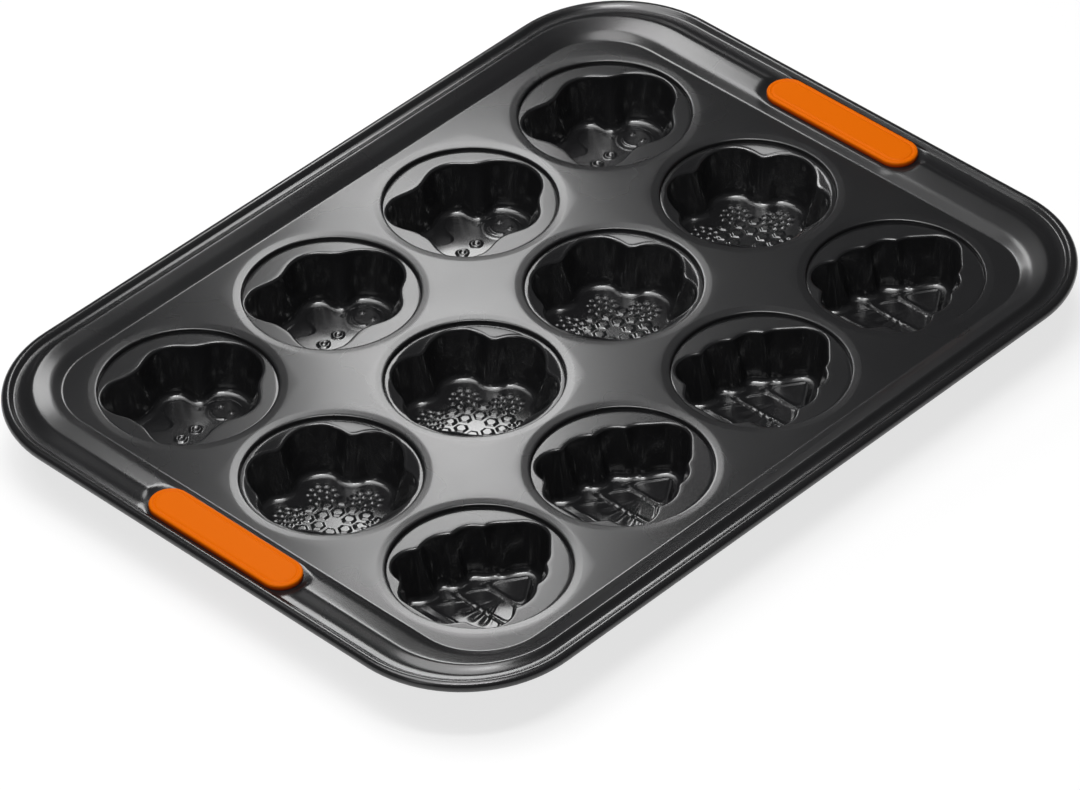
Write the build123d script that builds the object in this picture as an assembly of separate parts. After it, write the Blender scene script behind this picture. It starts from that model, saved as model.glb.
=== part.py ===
from build123d import *
import os

# Shaped-cup muffin pan: a pressed steel tray frame with a wired rim, twelve seamed-in
# moulded cups and two silicone grips. Millimetres, +Z up, long side along X.
# The origin is on the surface the pan stands on, under its centre.

os.makedirs("parts", exist_ok=True)

# Tray frame
LENGTH = 400.0
WIDTH = 300.0
CORNER_RADIUS = 56.0
FRAME_SHEET = 0.9

# Rolled rim around its stiffening wire, heights above the hole edge
BEAD_RADIUS = 2.4
BEAD_HEIGHT = 2.6
WIRE_CLEARANCE = 0.05
CURL_GAP = 0.8

# Stepped border: how far each line lies inside the long ends and the long sides, and its height
BEAD_JOINT = (4.0, 4.0, 4.1)
STEP_LINE = (5.3, 5.0, 3.4)
GROOVE_LINE = (9.5, 7.4, 2.9)
CREST_LINE = (14.5, 10.2, 4.9)
SHOULDER_LINE = (24.5, 16.1, 2.8)
DECK_LINE = (30.0, 21.1, 0.6)

# Cups and their round seats
COLUMNS = 4
ROWS = 3
PITCH = 83.5
HOLE_RADIUS = 37.5
BEVEL_RADIUS = 41.4
COLLAR_DEPTH = 4.5
LEDGE_DROP = 1.4
CUP_DEPTH = 25.5
CUP_SHEET = 0.8
SEAM_CLEARANCE = 0.05
HOOK_HEIGHT = 2.2
WALL_DRAFT = 8.0

# Grips
GRIP_LENGTH = 81.0
GRIP_WIDTH = 18.0
GRIP_OFFSET = 15.0
GRIP_THICKNESS = 2.6
GRIP_EDGE = 1.0
GRIP_SEAT_MARGIN = 0.9
GRIP_SEAT_RUNOUT = 3.5
SLOT_LENGTH = 66.0
SLOT_WIDTH = 8.0
SLOT_CLEARANCE = 0.1
BACK_PAD_LENGTH = 74.0
BACK_PAD_WIDTH = 13.0
BACK_PAD_THICKNESS = 1.6

# Cup outlines are unions of round lobes (centre x, centre y, radius), each off-axis lobe
# with its mirror image about X, and fillets round the corners where they meet.
# Snowflake: six equal lobes about the centre.
FLAKE_LOBES = 6
FLAKE_LOBE_RADIUS = 16.1
FLAKE_LOBE_CENTRE = 18.6
FLAKE_NOTCH_ROUNDING = 2.0
# Gingerbread figure: head towards +X, arms, feet, and the body block between them.
HEAD_LOBE = (17.6, 0.0, 17.8)
ARM_LOBE = (7.1, 15.0, 13.1)
FOOT_LOBE = (-19.5, 14.6, 11.4)
BODY_BOTTOM = -28.2
BODY_HALF_WIDTH = 24.6
NECK_ROUNDING = 4.0
CROTCH_ROUNDING = 2.0
# Fir tree: tip towards +X, three tiers of boughs, flared trunk.
TIP_LOBE = (25.1, 0.0, 10.3)
TOP_BOUGH = (10.9, 13.5, 9.4)
MIDDLE_BOUGH = (-1.9, 15.0, 12.4)
BOTTOM_BOUGH = (-15.6, 19.5, 10.1)
TRUNK_CORNER = (-25.8, 7.6, 8.0)
BOUGH_ROUNDING = 1.6

HOLE_EDGE_Z = CUP_SHEET + CUP_DEPTH
LEDGE_Z = HOLE_EDGE_Z - LEDGE_DROP
DECK_Z = HOLE_EDGE_Z + DECK_LINE[2]
SEAT_Z = HOLE_EDGE_Z + SHOULDER_LINE[2]
WIRE_RADIUS = BEAD_RADIUS - FRAME_SHEET - WIRE_CLEARANCE
ABOVE_ALL = HOLE_EDGE_Z + 12.0
BELOW_SHEET = HOLE_EDGE_Z - 6.0


def border_wire(end_offset, side_offset, z):
    """Rounded rectangle inside the rim; its corner radius shrinks by the mean offset."""
    radius = CORNER_RADIUS - (end_offset + side_offset) / 2
    sketch = RectangleRounded(LENGTH - 2 * end_offset, WIDTH - 2 * side_offset, radius)
    return Pos(0, 0, z) * sketch.wire()


def line_wire(line, z=None):
    """The border wire of one named line, at its own height or at a given one."""
    return border_wire(line[0], line[1], HOLE_EDGE_Z + line[2] if z is None else z)


def frustum(*wires):
    """Solid with straight flanks through the wires, from bottom to top."""
    return loft([Face(wire) for wire in wires], ruled=True)


def stadium(length, width, bottom, top):
    """Upright prism with round ends, long along Y."""
    slot = Rot(0, 0, 90) * SlotOverall(length, width)
    return extrude(Pos(0, 0, bottom) * slot, top - bottom)


def cup_centres(row):
    """Centres of one row of cups; row 0 is on the +Y side."""
    y = ((ROWS - 1) / 2 - row) * PITCH
    return [((column - (COLUMNS - 1) / 2) * PITCH, y) for column in range(COLUMNS)]


def all_centres():
    return [centre for row in range(ROWS) for centre in cup_centres(row)]


def grip_places():
    """Left and right grip centres, with the turn that points +X towards the pan's end."""
    x = LENGTH / 2 - GRIP_OFFSET
    return {"grip_left": Pos(-x, 0, 0) * Rot(0, 0, 180), "grip_right": Pos(x, 0, 0)}


def pressed_block():
    """Everything under the frame's upper face; the sheet is this less itself moved down."""
    block = frustum(line_wire(BEAD_JOINT, BELOW_SHEET), line_wire(BEAD_JOINT, ABOVE_ALL))
    groove = frustum(
        line_wire(GROOVE_LINE),
        line_wire(STEP_LINE),
        line_wire(BEAD_JOINT),
        line_wire(BEAD_JOINT, ABOVE_ALL),
    )
    crest = frustum(line_wire(GROOVE_LINE), line_wire(CREST_LINE))
    bowl = frustum(line_wire(DECK_LINE), line_wire(SHOULDER_LINE), line_wire(CREST_LINE))
    block = block - groove + crest - bowl
    bevel_rise = DECK_Z - HOLE_EDGE_Z
    for x, y in all_centres():
        bevel = Cone(HOLE_RADIUS, BEVEL_RADIUS, bevel_rise, align=(Align.CENTER, Align.CENTER, Align.MIN))
        block = block - Pos(x, y, HOLE_EDGE_Z) * bevel
    seat_length = GRIP_LENGTH + 2 * GRIP_SEAT_RUNOUT
    seat_width = GRIP_WIDTH + 2 * GRIP_SEAT_MARGIN
    for place in grip_places().values():
        block = block + place * stadium(seat_length, seat_width, BELOW_SHEET, SEAT_Z)
        block = block - place * stadium(seat_length, seat_width, SEAT_Z, ABOVE_ALL)
    return block


def swept_ring(section):
    """Carry a section in the rim's own axes (outwards, up) round the wire's line."""
    path = border_wire(BEAD_RADIUS, BEAD_RADIUS, HOLE_EDGE_Z + BEAD_HEIGHT)
    start = path @ 0
    plane = Plane(origin=start, x_dir=Vector(0, 0, 1).cross(path % 0), z_dir=path % 0)
    return sweep(plane * section, path=path)


def curl_section():
    """Rolled sheet round the wire, open by a gap on its inner lower side."""
    inner = BEAD_RADIUS - FRAME_SHEET
    gap = Pos(-BEAD_RADIUS, -CURL_GAP) * Rectangle(2 * FRAME_SHEET, CURL_GAP)
    return Circle(BEAD_RADIUS) - Circle(inner) - gap


def pan_frame():
    block = pressed_block()
    sheet = block - Pos(0, 0, -FRAME_SHEET) * block
    for x, y in all_centres():
        hole = Cylinder(HOLE_RADIUS, 4 * COLLAR_DEPTH)
        sheet = sheet - Pos(x, y, HOLE_EDGE_Z) * hole
        tube = Cylinder(HOLE_RADIUS + FRAME_SHEET, COLLAR_DEPTH) - Cylinder(HOLE_RADIUS, COLLAR_DEPTH)
        sheet = sheet + Pos(x, y, HOLE_EDGE_Z - COLLAR_DEPTH / 2) * tube
    for place in grip_places().values():
        sheet = sheet - place * stadium(SLOT_LENGTH, SLOT_WIDTH, BELOW_SHEET, ABOVE_ALL)
    return sheet + swept_ring(curl_section())


def rim_wire():
    return swept_ring(Circle(WIRE_RADIUS))


def lobe_pair(lobe, grow):
    """A round lobe grown outwards, with its mirror image when it lies off the X axis."""
    x, y, radius = lobe
    pair = Pos(x, y) * Circle(radius + grow)
    return pair + Pos(x, -y) * Circle(radius + grow) if y else pair


def block_face(x_min, x_max, half_width):
    return Pos((x_min + x_max) / 2, 0) * Rectangle(x_max - x_min, 2 * half_width)


def rounded_corners(sketch, low_x, high_x, radius):
    """Fillet the corners between two lobes that lie between two places along X."""
    corners = [vertex for vertex in sketch.vertices() if low_x < vertex.X < high_x]
    return fillet(corners, radius)


def gingerbread_face(grow):
    """Head, arm and foot lobes round a body block; the crotch is the block's low edge."""
    sketch = lobe_pair(HEAD_LOBE, grow) + lobe_pair(ARM_LOBE, grow) + lobe_pair(FOOT_LOBE, grow)
    sketch = sketch + block_face(BODY_BOTTOM - grow, HEAD_LOBE[0], FOOT_LOBE[1])
    sketch = sketch + block_face(FOOT_LOBE[0], ARM_LOBE[0], BODY_HALF_WIDTH + grow)
    sketch = rounded_corners(sketch, ARM_LOBE[0] + ARM_LOBE[2] / 2, HEAD_LOBE[0] + HEAD_LOBE[2], NECK_ROUNDING - grow)
    return rounded_corners(sketch, 2 * BODY_BOTTOM, FOOT_LOBE[0], CROTCH_ROUNDING - grow).face()


def tree_face(grow):
    """Tip drawn straight to the top boughs, two wider tiers, and a trunk with a round end."""
    tip = lobe_pair(TIP_LOBE, grow) + lobe_pair(TOP_BOUGH, grow)
    sketch = make_hull(tip.edges()) + lobe_pair(MIDDLE_BOUGH, grow) + lobe_pair(BOTTOM_BOUGH, grow)
    sketch = sketch + block_face(TRUNK_CORNER[0], TOP_BOUGH[0], MIDDLE_BOUGH[1])
    sketch = sketch + make_hull(lobe_pair(TRUNK_CORNER, grow).edges())
    return rounded_corners(sketch, TRUNK_CORNER[0], TOP_BOUGH[0], BOUGH_ROUNDING - grow).face()


def snowflake_face(grow):
    """Six round lobes about the cup's axis with rounded notches between them."""
    sketch = Circle(FLAKE_LOBE_CENTRE)
    for turn in range(FLAKE_LOBES):
        lobe = Circle(FLAKE_LOBE_RADIUS + grow)
        sketch = sketch + Rot(0, 0, turn * 360 / FLAKE_LOBES) * (Pos(FLAKE_LOBE_CENTRE, 0) * lobe)
    return fillet(sketch.vertices(), FLAKE_NOTCH_ROUNDING - grow).face()


def well(outline, grow, floor):
    """Shaped well from its mouth outline in the ledge down to the floor, with drafted walls.

    It is drawn upside down: each outline is its own mirror image about the X axis it turns on.
    """
    plug = extrude(outline(grow), amount=LEDGE_Z - floor, taper=WALL_DRAFT)
    return Pos(0, 0, LEDGE_Z) * Rot(180, 0, 0) * plug


def seam_hook():
    """Ledge skirt that runs down inside the collar, under its end and up outside it."""
    inner = HOLE_RADIUS - SEAM_CLEARANCE - CUP_SHEET
    outer = HOLE_RADIUS + FRAME_SHEET + SEAM_CLEARANCE + CUP_SHEET
    under = HOLE_EDGE_Z - COLLAR_DEPTH - SEAM_CLEARANCE
    low = under - CUP_SHEET
    skirt = Polyline(
        (inner, low), (outer, low), (outer, under + HOOK_HEIGHT),
        (outer - CUP_SHEET, under + HOOK_HEIGHT), (outer - CUP_SHEET, under),
        (inner + CUP_SHEET, under), (inner + CUP_SHEET, LEDGE_Z), (inner, LEDGE_Z), close=True,
    )
    return revolve(Plane.XZ * make_face(skirt), Axis.Z)


def cup(outline):
    """One pressed cup: round ledge, seam hook and shaped well."""
    ledge = Pos(0, 0, LEDGE_Z - CUP_SHEET / 2) * Cylinder(HOLE_RADIUS - SEAM_CLEARANCE, CUP_SHEET)
    shell = ledge + seam_hook() + well(outline, CUP_SHEET, 0)
    return shell - well(outline, 0, CUP_SHEET)


def grip():
    """Silicone grip: rounded top pad, neck through the frame's slot, flat back pad."""
    pad = stadium(GRIP_LENGTH, GRIP_WIDTH, SEAT_Z, SEAT_Z + GRIP_THICKNESS)
    pad = fillet(pad.faces().sort_by(Axis.Z)[-1].edges(), GRIP_EDGE)
    back_top = SEAT_Z - FRAME_SHEET
    neck_length = SLOT_LENGTH - 2 * SLOT_CLEARANCE
    neck_width = SLOT_WIDTH - 2 * SLOT_CLEARANCE
    neck = stadium(neck_length, neck_width, back_top, SEAT_Z)
    back = stadium(BACK_PAD_LENGTH, BACK_PAD_WIDTH, back_top - BACK_PAD_THICKNESS, back_top)
    return pad + neck + back


CUP_OUTLINES = {
    "gingerbread_cup": gingerbread_face,
    "snowflake_cup": snowflake_face,
    "tree_cup": tree_face,
}


def main():
    nodes = {"pan_frame": pan_frame(), "rim_wire": rim_wire()}
    for row, (name, outline) in enumerate(CUP_OUTLINES.items()):
        shape = cup(outline)
        for number, (x, y) in enumerate(cup_centres(row), start=1):
            nodes[f"{name}_{number}"] = Pos(x, y, 0) * shape
    for name, place in grip_places().items():
        nodes[name] = place * grip()
    for name, shape in nodes.items():
        export_step(shape, f"parts/{name}.step")
        print(name, round(shape.volume), len(shape.solids()))


main()
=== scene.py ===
import bmesh
import bpy
import numpy as np
from bpy.props import FloatProperty, FloatVectorProperty, IntProperty, PointerProperty
from mathutils import Matrix, Vector


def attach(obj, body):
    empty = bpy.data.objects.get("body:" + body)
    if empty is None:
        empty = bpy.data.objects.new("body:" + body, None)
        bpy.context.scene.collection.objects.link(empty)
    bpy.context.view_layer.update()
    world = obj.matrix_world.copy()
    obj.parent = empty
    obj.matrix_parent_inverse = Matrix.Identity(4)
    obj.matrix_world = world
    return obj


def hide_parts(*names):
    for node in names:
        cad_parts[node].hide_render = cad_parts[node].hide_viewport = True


bl_info = {
    "name": "Muffin pan",
    "version": (1, 0, 0),
    "blender": (4, 5, 0),
    "location": "3D View > Sidebar > Muffin pan",
    "description": "Sheet, cups, grips and studio of a twelve cup muffin pan",
    "category": "Object",
}

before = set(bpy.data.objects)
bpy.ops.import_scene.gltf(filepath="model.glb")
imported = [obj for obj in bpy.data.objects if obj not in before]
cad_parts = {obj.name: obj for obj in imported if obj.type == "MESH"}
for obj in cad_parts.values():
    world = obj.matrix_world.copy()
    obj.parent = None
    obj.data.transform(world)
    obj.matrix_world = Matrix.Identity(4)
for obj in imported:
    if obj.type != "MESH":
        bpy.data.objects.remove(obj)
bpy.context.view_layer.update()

MM = 0.001
CUPS_LONG = 4
CUP_ROWS = 3
WELD = 0.004 * MM

# Border lines of the pressed sheet: inset from the ends, inset from the long sides,
# height above the hole edges and how far the bend is rounded, all in millimetres.
BORDER_LINES = (
    (30.0, 21.1, 0.6, 0.0),
    (29.2, 20.4, 0.6, 0.7),
    (24.5, 16.1, 2.8, 1.5),
    (14.5, 10.2, 4.9, 1.2),
    (9.5, 7.4, 2.9, 1.7),
    (5.3, 5.0, 3.4, 0.5),
    (4.24, 4.24, 4.14, 0.0),
)
# A leg's length counts the two insets by half each, and the height in full.
LEG_WEIGHTS = (0.5, 0.5, 1.0)
BEND_STEPS = 5
LEG_STEPS = 3
LAST_LEG_STEPS = 2
# Rolled edge: angles round the bead in degrees, from the sheet's joint over the outside.
BEAD_START = 140.0
BEAD_END = -180.0
BEAD_STEPS = 23
# The seats' lowering of the border stops this many profile stations before the bead.
SEAT_STOP = 3
# Border columns are closest between these places, in millimetres from the middle of an end.
CLOSE_COLUMNS = (30.0, 64.0)
END_STEPS = (8, 9, 19, 12)
SIDE_STEPS = (24, 16)
CORNER_STEPS = 22

# Edge of a hole: rounding radius in millimetres, its first and last angle in degrees, and how far
# the bevel's rim is softened inwards and outwards in millimetres.
HOLE_ROUNDING = 0.7
HOLE_TURN = (180.0, 98.0)
HOLE_TURN_STEPS = 6
HOLE_WALL_STEPS = 2
BEVEL_STEPS = 4
RIM_SOFTENING = (0.3, 0.2)
CELL_STEPS = 24
# A point on a cell's outline may miss it by this much.
CELL_SLACK = 0.001 * MM
# Two of its points are one where their angles in radians agree to this many digits.
ANGLE_DIGITS = 5
DECK_SHARES = (0.3, 0.65, 1.0)

# Mouths of the cups in millimetres, with a figure's head along +X. A lobe is (x, y, radius) and has
# a mirror image across the X axis; two shapes merge where their distances differ by less than a blend.
HEAD = (17.6, 0.0, 17.8)
ARM = (7.1, 15.0, 13.1)
FOOT = (-19.5, 14.6, 11.4)
BODY_LOW = -28.2
BODY_HALF = 24.6
HEAD_BLEND = 6.0
TORSO_BLEND = 1.0
LIMB_BLEND = 4.0
TIP = (25.1, 0.0, 10.3)
SIDE_OF_TIP = (18.4, 6.6, 10.0)
TOP_BOUGH = (10.4, 13.3, 9.6)
MIDDLE_BOUGH = (-1.9, 15.0, 12.4)
BOTTOM_BOUGH = (-15.6, 19.5, 10.1)
TRUNK_END = -25.8
TRUNK_HALF = 7.6
TRUNK_CORNER = 8.0
TIP_BLEND = 1.6
BOUGH_BLEND = 2.0
TRUNK_BLEND = 5.0
FLAKE_LOBES = 6
FLAKE_CENTRE = 18.6
FLAKE_RADIUS = 16.1
FLAKE_BLEND = 3.4

# Relief of the floors in millimetres. RELIEF_EDGE is how far an edge is softened to each side, and
# the relief fades in over RELIEF_FADE from the floor's outline.
RELIEF_EDGE = 0.45
RELIEF_FADE = 1.6
# Snowflake: hexagons (x, y, radius) and rings of dots (count, ring radius, dot radius, height).
HEXAGON_SLANT = (0.866, 0.5)
PAD_HEIGHT = 0.5
PADS = ((5.6, 3.3, 2.3), (11.0, 0.0, 2.0), (11.9, 6.9, 2.3))
ROSETTE_CENTRE = 19.0
OUTER_RING = (10, 5.6, 1.1, 0.4)
INNER_RING = (5, 2.7, 0.8, 0.5)
# Gingerbread: the plate's lobes, then the face, eyes, smile (SMILE_TURN in degrees) and buttons.
NECK = (8.0, 0.0, 8.6)
HIP = (-12.0, 0.0, 9.4)
SHOULDER = (4.6, 6.0, 6.4)
HAND = (6.4, 14.6, 6.0)
THIGH = (-10.0, 4.0, 6.6)
SHOE = (-18.6, 13.2, 5.6)
PLATE_BLEND = 3.0
PLATE_HEIGHT = 0.9
FACE_PLACE = 17.6
FACE_DISC = (9.3, 1.0)
FACE_LINE = 8.4
FACE_GROOVE = (0.5, 0.35)
EYE_PLACE = (20.4, 3.2)
EYE = (0.8, 0.45)
SMILE_PLACE = 18.6
SMILE_RADIUS = 5.2
SMILE = (0.4, 0.6)
SMILE_TURN = 52.0
BUTTON_PLACES = (2.6, -5.6, -13.8)
BUTTON_RADIUS = 1.9
BUTTON = (0.65, 0.7)
# Tree: tiers (low edge, half width, tip, height), the line inside each edge and the pleats, whose
# PLEAT_SIDE is in radians and whose PLEAT_TURNS counts waves in one turn of the fan.
TIERS = ((-13.5, 24.0, 18.0, 0.5), (-0.5, 20.5, 26.0, 1.0), (10.8, 15.0, 33.0, 1.5))
TIER_BLEND = 5.0
TIER_EDGE = (-1.3, 0.1)
LINE_INSET = 2.2
LINE_EDGE = (0.3, 1.2)
LINE_HEIGHT = 0.22
PLEAT_CENTRE = 12.0
PLEAT_START = (2.0, 8.0)
PLEAT_END = (15.0, 20.0)
PLEAT_SIDE = (0.45, 0.6)
PLEAT_TURNS = 20.0
PLEAT_DEPTH = 0.32

# Cup walls: MOUTH_SPAN is the farthest a mouth is looked for, RIB_WIDTH is in radians, LIP_TURN in
# degrees, RIB_GROWTH the power by which ribs deepen, and CONE_START a share of the seat radius.
# Other sizes are in millimetres.
MOUTH_SPAN = 39.0
MOUTH_SAMPLES = 170
RIB_WIDTH = 0.13
RIB_GROWTH = 1.5
CONE_START = 0.95
LIP_TURN = 84.0
LIP_TO_SEAT = 0.35
LIP_STEPS = 8
WALL_STEPS = 10
FLOOR_BEND_STEPS = 7
LEDGE_STEPS = 6
LEDGE_CORNER = 0.25
LEDGE_CHAMFER = 0.07
SEAT_DEPTH = 1.5

# Grip sections: inset from the outline and drop from the top, in millimetres. The top pad's dip at
# an inset of 2.2 is the moulded line.
PAD_SECTION = (
    (7.0, 0.0), (4.0, 0.0), (3.1, 0.0), (2.8, 0.04), (2.5, 0.3), (2.2, 0.42), (1.9, 0.3),
    (1.6, 0.04), (1.4, 0.0), (1.0, 0.02), (0.62, 0.1), (0.3, 0.3), (0.1, 0.6), (0.02, 0.95), (0.0, 1.3),
    (0.0, 2.0), (0.0, 2.52), (0.06, 2.6), (4.0, 2.6),
)
BACK_SECTION = ((4.0, 0.0), (0.3, 0.0), (0.0, 0.3), (0.0, 1.0), (0.2, 1.45), (0.7, 1.6), (4.0, 1.6))
GRIP_COLUMNS = 160

# Most of a noise lies in this span, which is spread over the wanted range.
NOISE_SPAN = {"From Min": 0.3, "From Max": 0.7}
# Heights in metres between which the coating turns from well to ledge, and the grip's colour from the painted
# shade of the skirt to the top.
WELL_SPAN = {"From Min": 24.0 * MM, "From Max": 24.85 * MM}
SKIRT_SHADE_SPAN = {"From Min": 29.6 * MM, "From Max": 31.2 * MM}
DARK_FLAKE = 0.72
BRIGHT_FLAKE = 1.35

FLOOR_HALF = 4.0
FLOOR_HEIGHT = -0.3 * MM
GLOW_SHARE = 0.74
SENSOR_WIDTH = 36.0
# Name, place, aim point and size in metres, and power in watts.
LAMPS = (
    ("overhead_box", (-0.3, 0.1, 1.7), (0.0, 0.0, 0.0), (1.3, 1.3), 28.0),
    ("edge_strip", (-0.36, -0.36, 1.41), (0.0, 0.0, 0.0), (0.55, 0.12), 7.0),
    ("deck_panel", (0.28, 0.35, 0.42), (-0.04, 0.02, 0.02), (0.12, 0.25), 0.85),
    ("left_strip", (-1.1, -0.2, 0.8), (0.0, 0.0, 0.02), (0.2, 0.9), 0.8),
)


def linear(code):
    """sRGB hex colour as the linear RGBA that a shader socket takes."""
    parts = np.array([int(code[i:i + 2], 16) for i in (1, 3, 5)]) / 255.0
    low = parts / 12.92
    high = ((parts + 0.055) / 1.055) ** 2.4
    return (*np.where(parts <= 0.04045, low, high).tolist(), 1.0)


def smooth_step(edge_low, edge_high, value):
    """0 below the low edge, 1 above the high one, 3t^2 - 2t^3 between."""
    t = np.clip((value - edge_low) / (edge_high - edge_low), 0.0, 1.0)
    return t * t * (3.0 - 2.0 * t)


def smooth_union(a, b, blend):
    """Smaller of two distances, min(a, b) - h^2 blend / 4, with h = max(1 - |a - b| / blend, 0)."""
    h = np.maximum(1.0 - np.abs(a - b) / blend, 0.0)
    return np.minimum(a, b) - h * h * blend / 4.0


def disc(x, y, lobe):
    """Distance to a round lobe, |p - c| - r, with its mirror image across the X axis."""
    return np.hypot(x - lobe[0], np.abs(y) - lobe[1]) - lobe[2]


def block(x, y, low, high, half_width, corner=0.0):
    """Distance to a rectangle along X grown by a corner radius."""
    side_x = np.abs(x - (low + high) / 2) - (high - low) / 2
    side_y = np.abs(y) - half_width
    outside = np.hypot(np.maximum(side_x, 0), np.maximum(side_y, 0))
    return outside + np.minimum(np.maximum(side_x, side_y), 0) - corner


def taper(x, y, first, second):
    """Distance to the hull of two round lobes: |p - c(t)| - r(t), t where the slanted side is nearest."""
    axis = np.array([second[0] - first[0], second[1] - first[1]])
    length = np.hypot(*axis)
    along_axis = axis / length
    px = x - first[0]
    py = np.abs(y) - first[1]
    along = px * along_axis[0] + py * along_axis[1]
    across = np.abs(py * along_axis[0] - px * along_axis[1])
    slope = (first[2] - second[2]) / length
    t = np.clip((along + across * slope / np.sqrt(1 - slope**2)) / length, 0, 1)
    near = np.hypot(along - t * length, across)
    return near - (first[2] + t * (second[2] - first[2]))


def nearest_sector(angle, count):
    """Angle from the middle of the nearest of so many equal sectors, the first of which lies on +X."""
    step = 2 * np.pi / count
    return np.mod(angle + step / 2, step) - step / 2


def fold(x, y):
    """Coordinates of a point turned into the nearest snowflake arm, along it and away from it."""
    radius = np.hypot(x, y)
    angle = np.abs(nearest_sector(np.arctan2(y, x), FLAKE_LOBES))
    return radius * np.cos(angle), radius * np.sin(angle)


def gingerbread_edge(x, y):
    """Distance to the gingerbread mouth: head, arms and feet round a body block."""
    limbs = smooth_union(disc(x, y, HEAD), disc(x, y, ARM), HEAD_BLEND)
    body = block(x, y, FOOT[0], ARM[0], BODY_HALF)
    low = block(x, y, BODY_LOW, HEAD[0], FOOT[1])
    torso = smooth_union(body, low, TORSO_BLEND)
    return smooth_union(smooth_union(limbs, torso, LIMB_BLEND), disc(x, y, FOOT), LIMB_BLEND)


def tree_edge(x, y):
    """Distance to the tree mouth: tip drawn to the top boughs, two wider tiers and a trunk."""
    tip = taper(x, y, TIP, SIDE_OF_TIP)
    top = smooth_union(tip, disc(x, y, TOP_BOUGH), TIP_BLEND)
    core = block(x, y, TRUNK_END, TOP_BOUGH[0], MIDDLE_BOUGH[1])
    middle = np.minimum(disc(x, y, MIDDLE_BOUGH), core)
    trunk = block(x, y, TRUNK_END, TRUNK_END, TRUNK_HALF, TRUNK_CORNER)
    boughs = smooth_union(smooth_union(top, middle, BOUGH_BLEND), disc(x, y, BOTTOM_BOUGH), BOUGH_BLEND)
    return smooth_union(boughs, trunk, TRUNK_BLEND)


def snowflake_edge(x, y):
    """Distance to the snowflake mouth: six round lobes about the centre, blended at the notches."""
    along, across = fold(x, y)
    lobe = np.hypot(along - FLAKE_CENTRE, across) - FLAKE_RADIUS
    half = np.pi / FLAKE_LOBES
    mirror_along = FLAKE_CENTRE * np.cos(2 * half)
    mirror_across = FLAKE_CENTRE * np.sin(2 * half)
    other = np.hypot(along - mirror_along, across - mirror_across) - FLAKE_RADIUS
    return smooth_union(lobe, other, FLAKE_BLEND)


def dome(distance, radius, height):
    """Soft-edged raised dot or line: full height inside the radius, nothing outside it."""
    return height * (1.0 - smooth_step(radius - RELIEF_EDGE, radius + RELIEF_EDGE, distance))


def hexagon(along, across, radius):
    """Raised hexagonal pad: full height while max(0.866 |u| + 0.5 |v|, |v|) is under its radius."""
    u = np.abs(along)
    v = np.abs(across)
    return dome(np.maximum(HEXAGON_SLANT[0] * u + HEXAGON_SLANT[1] * v, v), radius, PAD_HEIGHT)


def ring_of_dots(radius, angle, count, ring_radius, dot_radius, height):
    """Dots in equal steps on a ring: a dot is |p - c| under its radius, in the nearest dot's sector."""
    turned = nearest_sector(angle, count)
    away = np.hypot(radius * np.cos(turned) - ring_radius, radius * np.sin(turned))
    return dome(away, dot_radius, height)


def snowflake_relief(x, y):
    """Hexagon pads round the centre, and in each arm ten beads in a ring round five dots."""
    along, across = fold(x, y)
    pads = 0.0
    for pad_along, pad_across, radius in PADS:
        pads = pads + hexagon(along - pad_along, across - pad_across, radius)
    radius = np.hypot(along - ROSETTE_CENTRE, across)
    angle = np.arctan2(across, along - ROSETTE_CENTRE)
    beads = ring_of_dots(radius, angle, *OUTER_RING)
    dots = ring_of_dots(radius, angle, *INNER_RING)
    return np.maximum(np.maximum(pads, beads), dots)


def gingerbread_relief(x, y):
    """Body plate with arms and legs, round face with a groove, eyes and a smile, and three ring buttons."""
    side = np.abs(y)
    torso = taper(x, y, NECK, HIP)
    arms = taper(x, y, SHOULDER, HAND)
    legs = taper(x, y, THIGH, SHOE)
    plate = smooth_union(smooth_union(torso, arms, PLATE_BLEND), legs, PLATE_BLEND)
    body = dome(plate, 0.0, PLATE_HEIGHT)
    face_radius = np.hypot(x - FACE_PLACE, y)
    face = dome(face_radius, *FACE_DISC) - dome(np.abs(face_radius - FACE_LINE), *FACE_GROOVE)
    eyes = dome(np.hypot(x - EYE_PLACE[0], side - EYE_PLACE[1]), *EYE)
    smile_angle = np.abs(np.arctan2(y, SMILE_PLACE - x))
    smile_line = dome(np.abs(np.hypot(x - SMILE_PLACE, y) - SMILE_RADIUS), *SMILE)
    smile = smile_line * (smile_angle < np.radians(SMILE_TURN))
    buttons = 0.0
    for place in BUTTON_PLACES:
        buttons = buttons + dome(np.abs(np.hypot(x - place, y) - BUTTON_RADIUS), *BUTTON)
    return np.maximum(body, face) + eyes + smile + buttons


def tree_relief(x, y):
    """Three stacked tiers, each a rounded triangle above the last with a raised line, and a fan of pleats."""
    side = np.abs(y)
    relief = 0.0 * x
    for low_edge, half_width, tip, height in TIERS:
        slant = half_width / (tip - low_edge)
        flank = (side - slant * (tip - x)) / np.hypot(1.0, slant)
        plate = -smooth_union(x - low_edge, -flank, TIER_BLEND)
        line = LINE_HEIGHT * (1.0 - smooth_step(*LINE_EDGE, np.abs(plate + LINE_INSET)))
        relief = np.maximum(relief, (height + line) * (1.0 - smooth_step(*TIER_EDGE, plate)))
    fan = np.arctan2(side, PLEAT_CENTRE - x)
    reach = np.hypot(PLEAT_CENTRE - x, side)
    band = smooth_step(*PLEAT_START, reach) * (1.0 - smooth_step(*PLEAT_END, reach))
    spread = band * (1.0 - smooth_step(*PLEAT_SIDE, fan))
    return relief - PLEAT_DEPTH * (0.5 + 0.5 * np.cos(fan * PLEAT_TURNS)) * spread


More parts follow.
